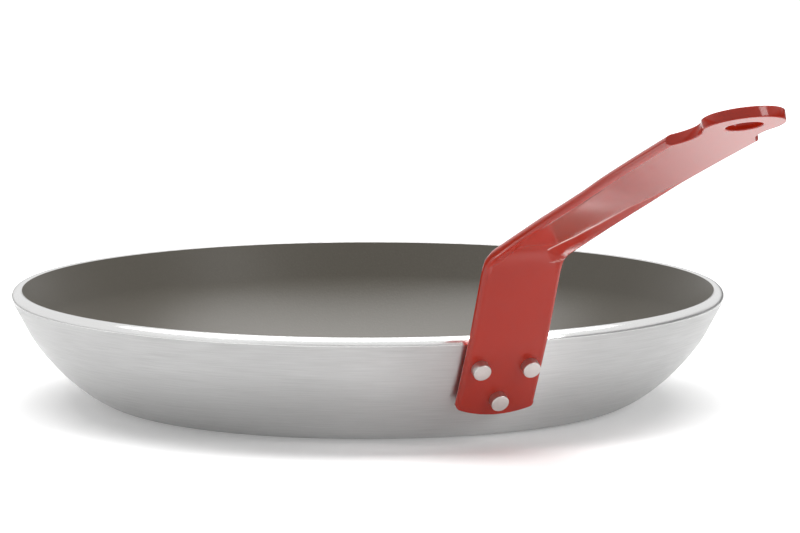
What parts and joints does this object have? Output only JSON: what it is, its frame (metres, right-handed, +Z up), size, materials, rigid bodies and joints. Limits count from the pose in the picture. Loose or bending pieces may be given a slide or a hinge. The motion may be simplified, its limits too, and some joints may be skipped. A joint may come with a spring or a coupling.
{
  "type": "frying pan",
  "caption": "Round nonstick frying pan: flared thick aluminium dish with a bare rounded lip, dark coating inside, and a bent red strip handle riveted to the wall.",
  "frame": {"origin": "centre of the flat base, on its underside", "axes": "+Z up from the base, +X along the handle away from the dish"},
  "size_m": [0.5054, 0.28, 0.1537],
  "materials": {
    "brushed_aluminium": "satin, brushed round the axis, with a polished lip",
    "nonstick": "dark grey nonstick coating, satin",
    "red_coated_steel": "glossy red baked coating on bent steel strip",
    "rivet_aluminium": "satin, as headed"
  },
  "bodies": {
    "root": {"pan_body": "brushed_aluminium", "nonstick_coating": "nonstick", "handle": "red_coated_steel", "rivet_left": "rivet_aluminium", "rivet_right": "rivet_aluminium", "rivet_lower": "rivet_aluminium"}
  },
  "joints": []
}
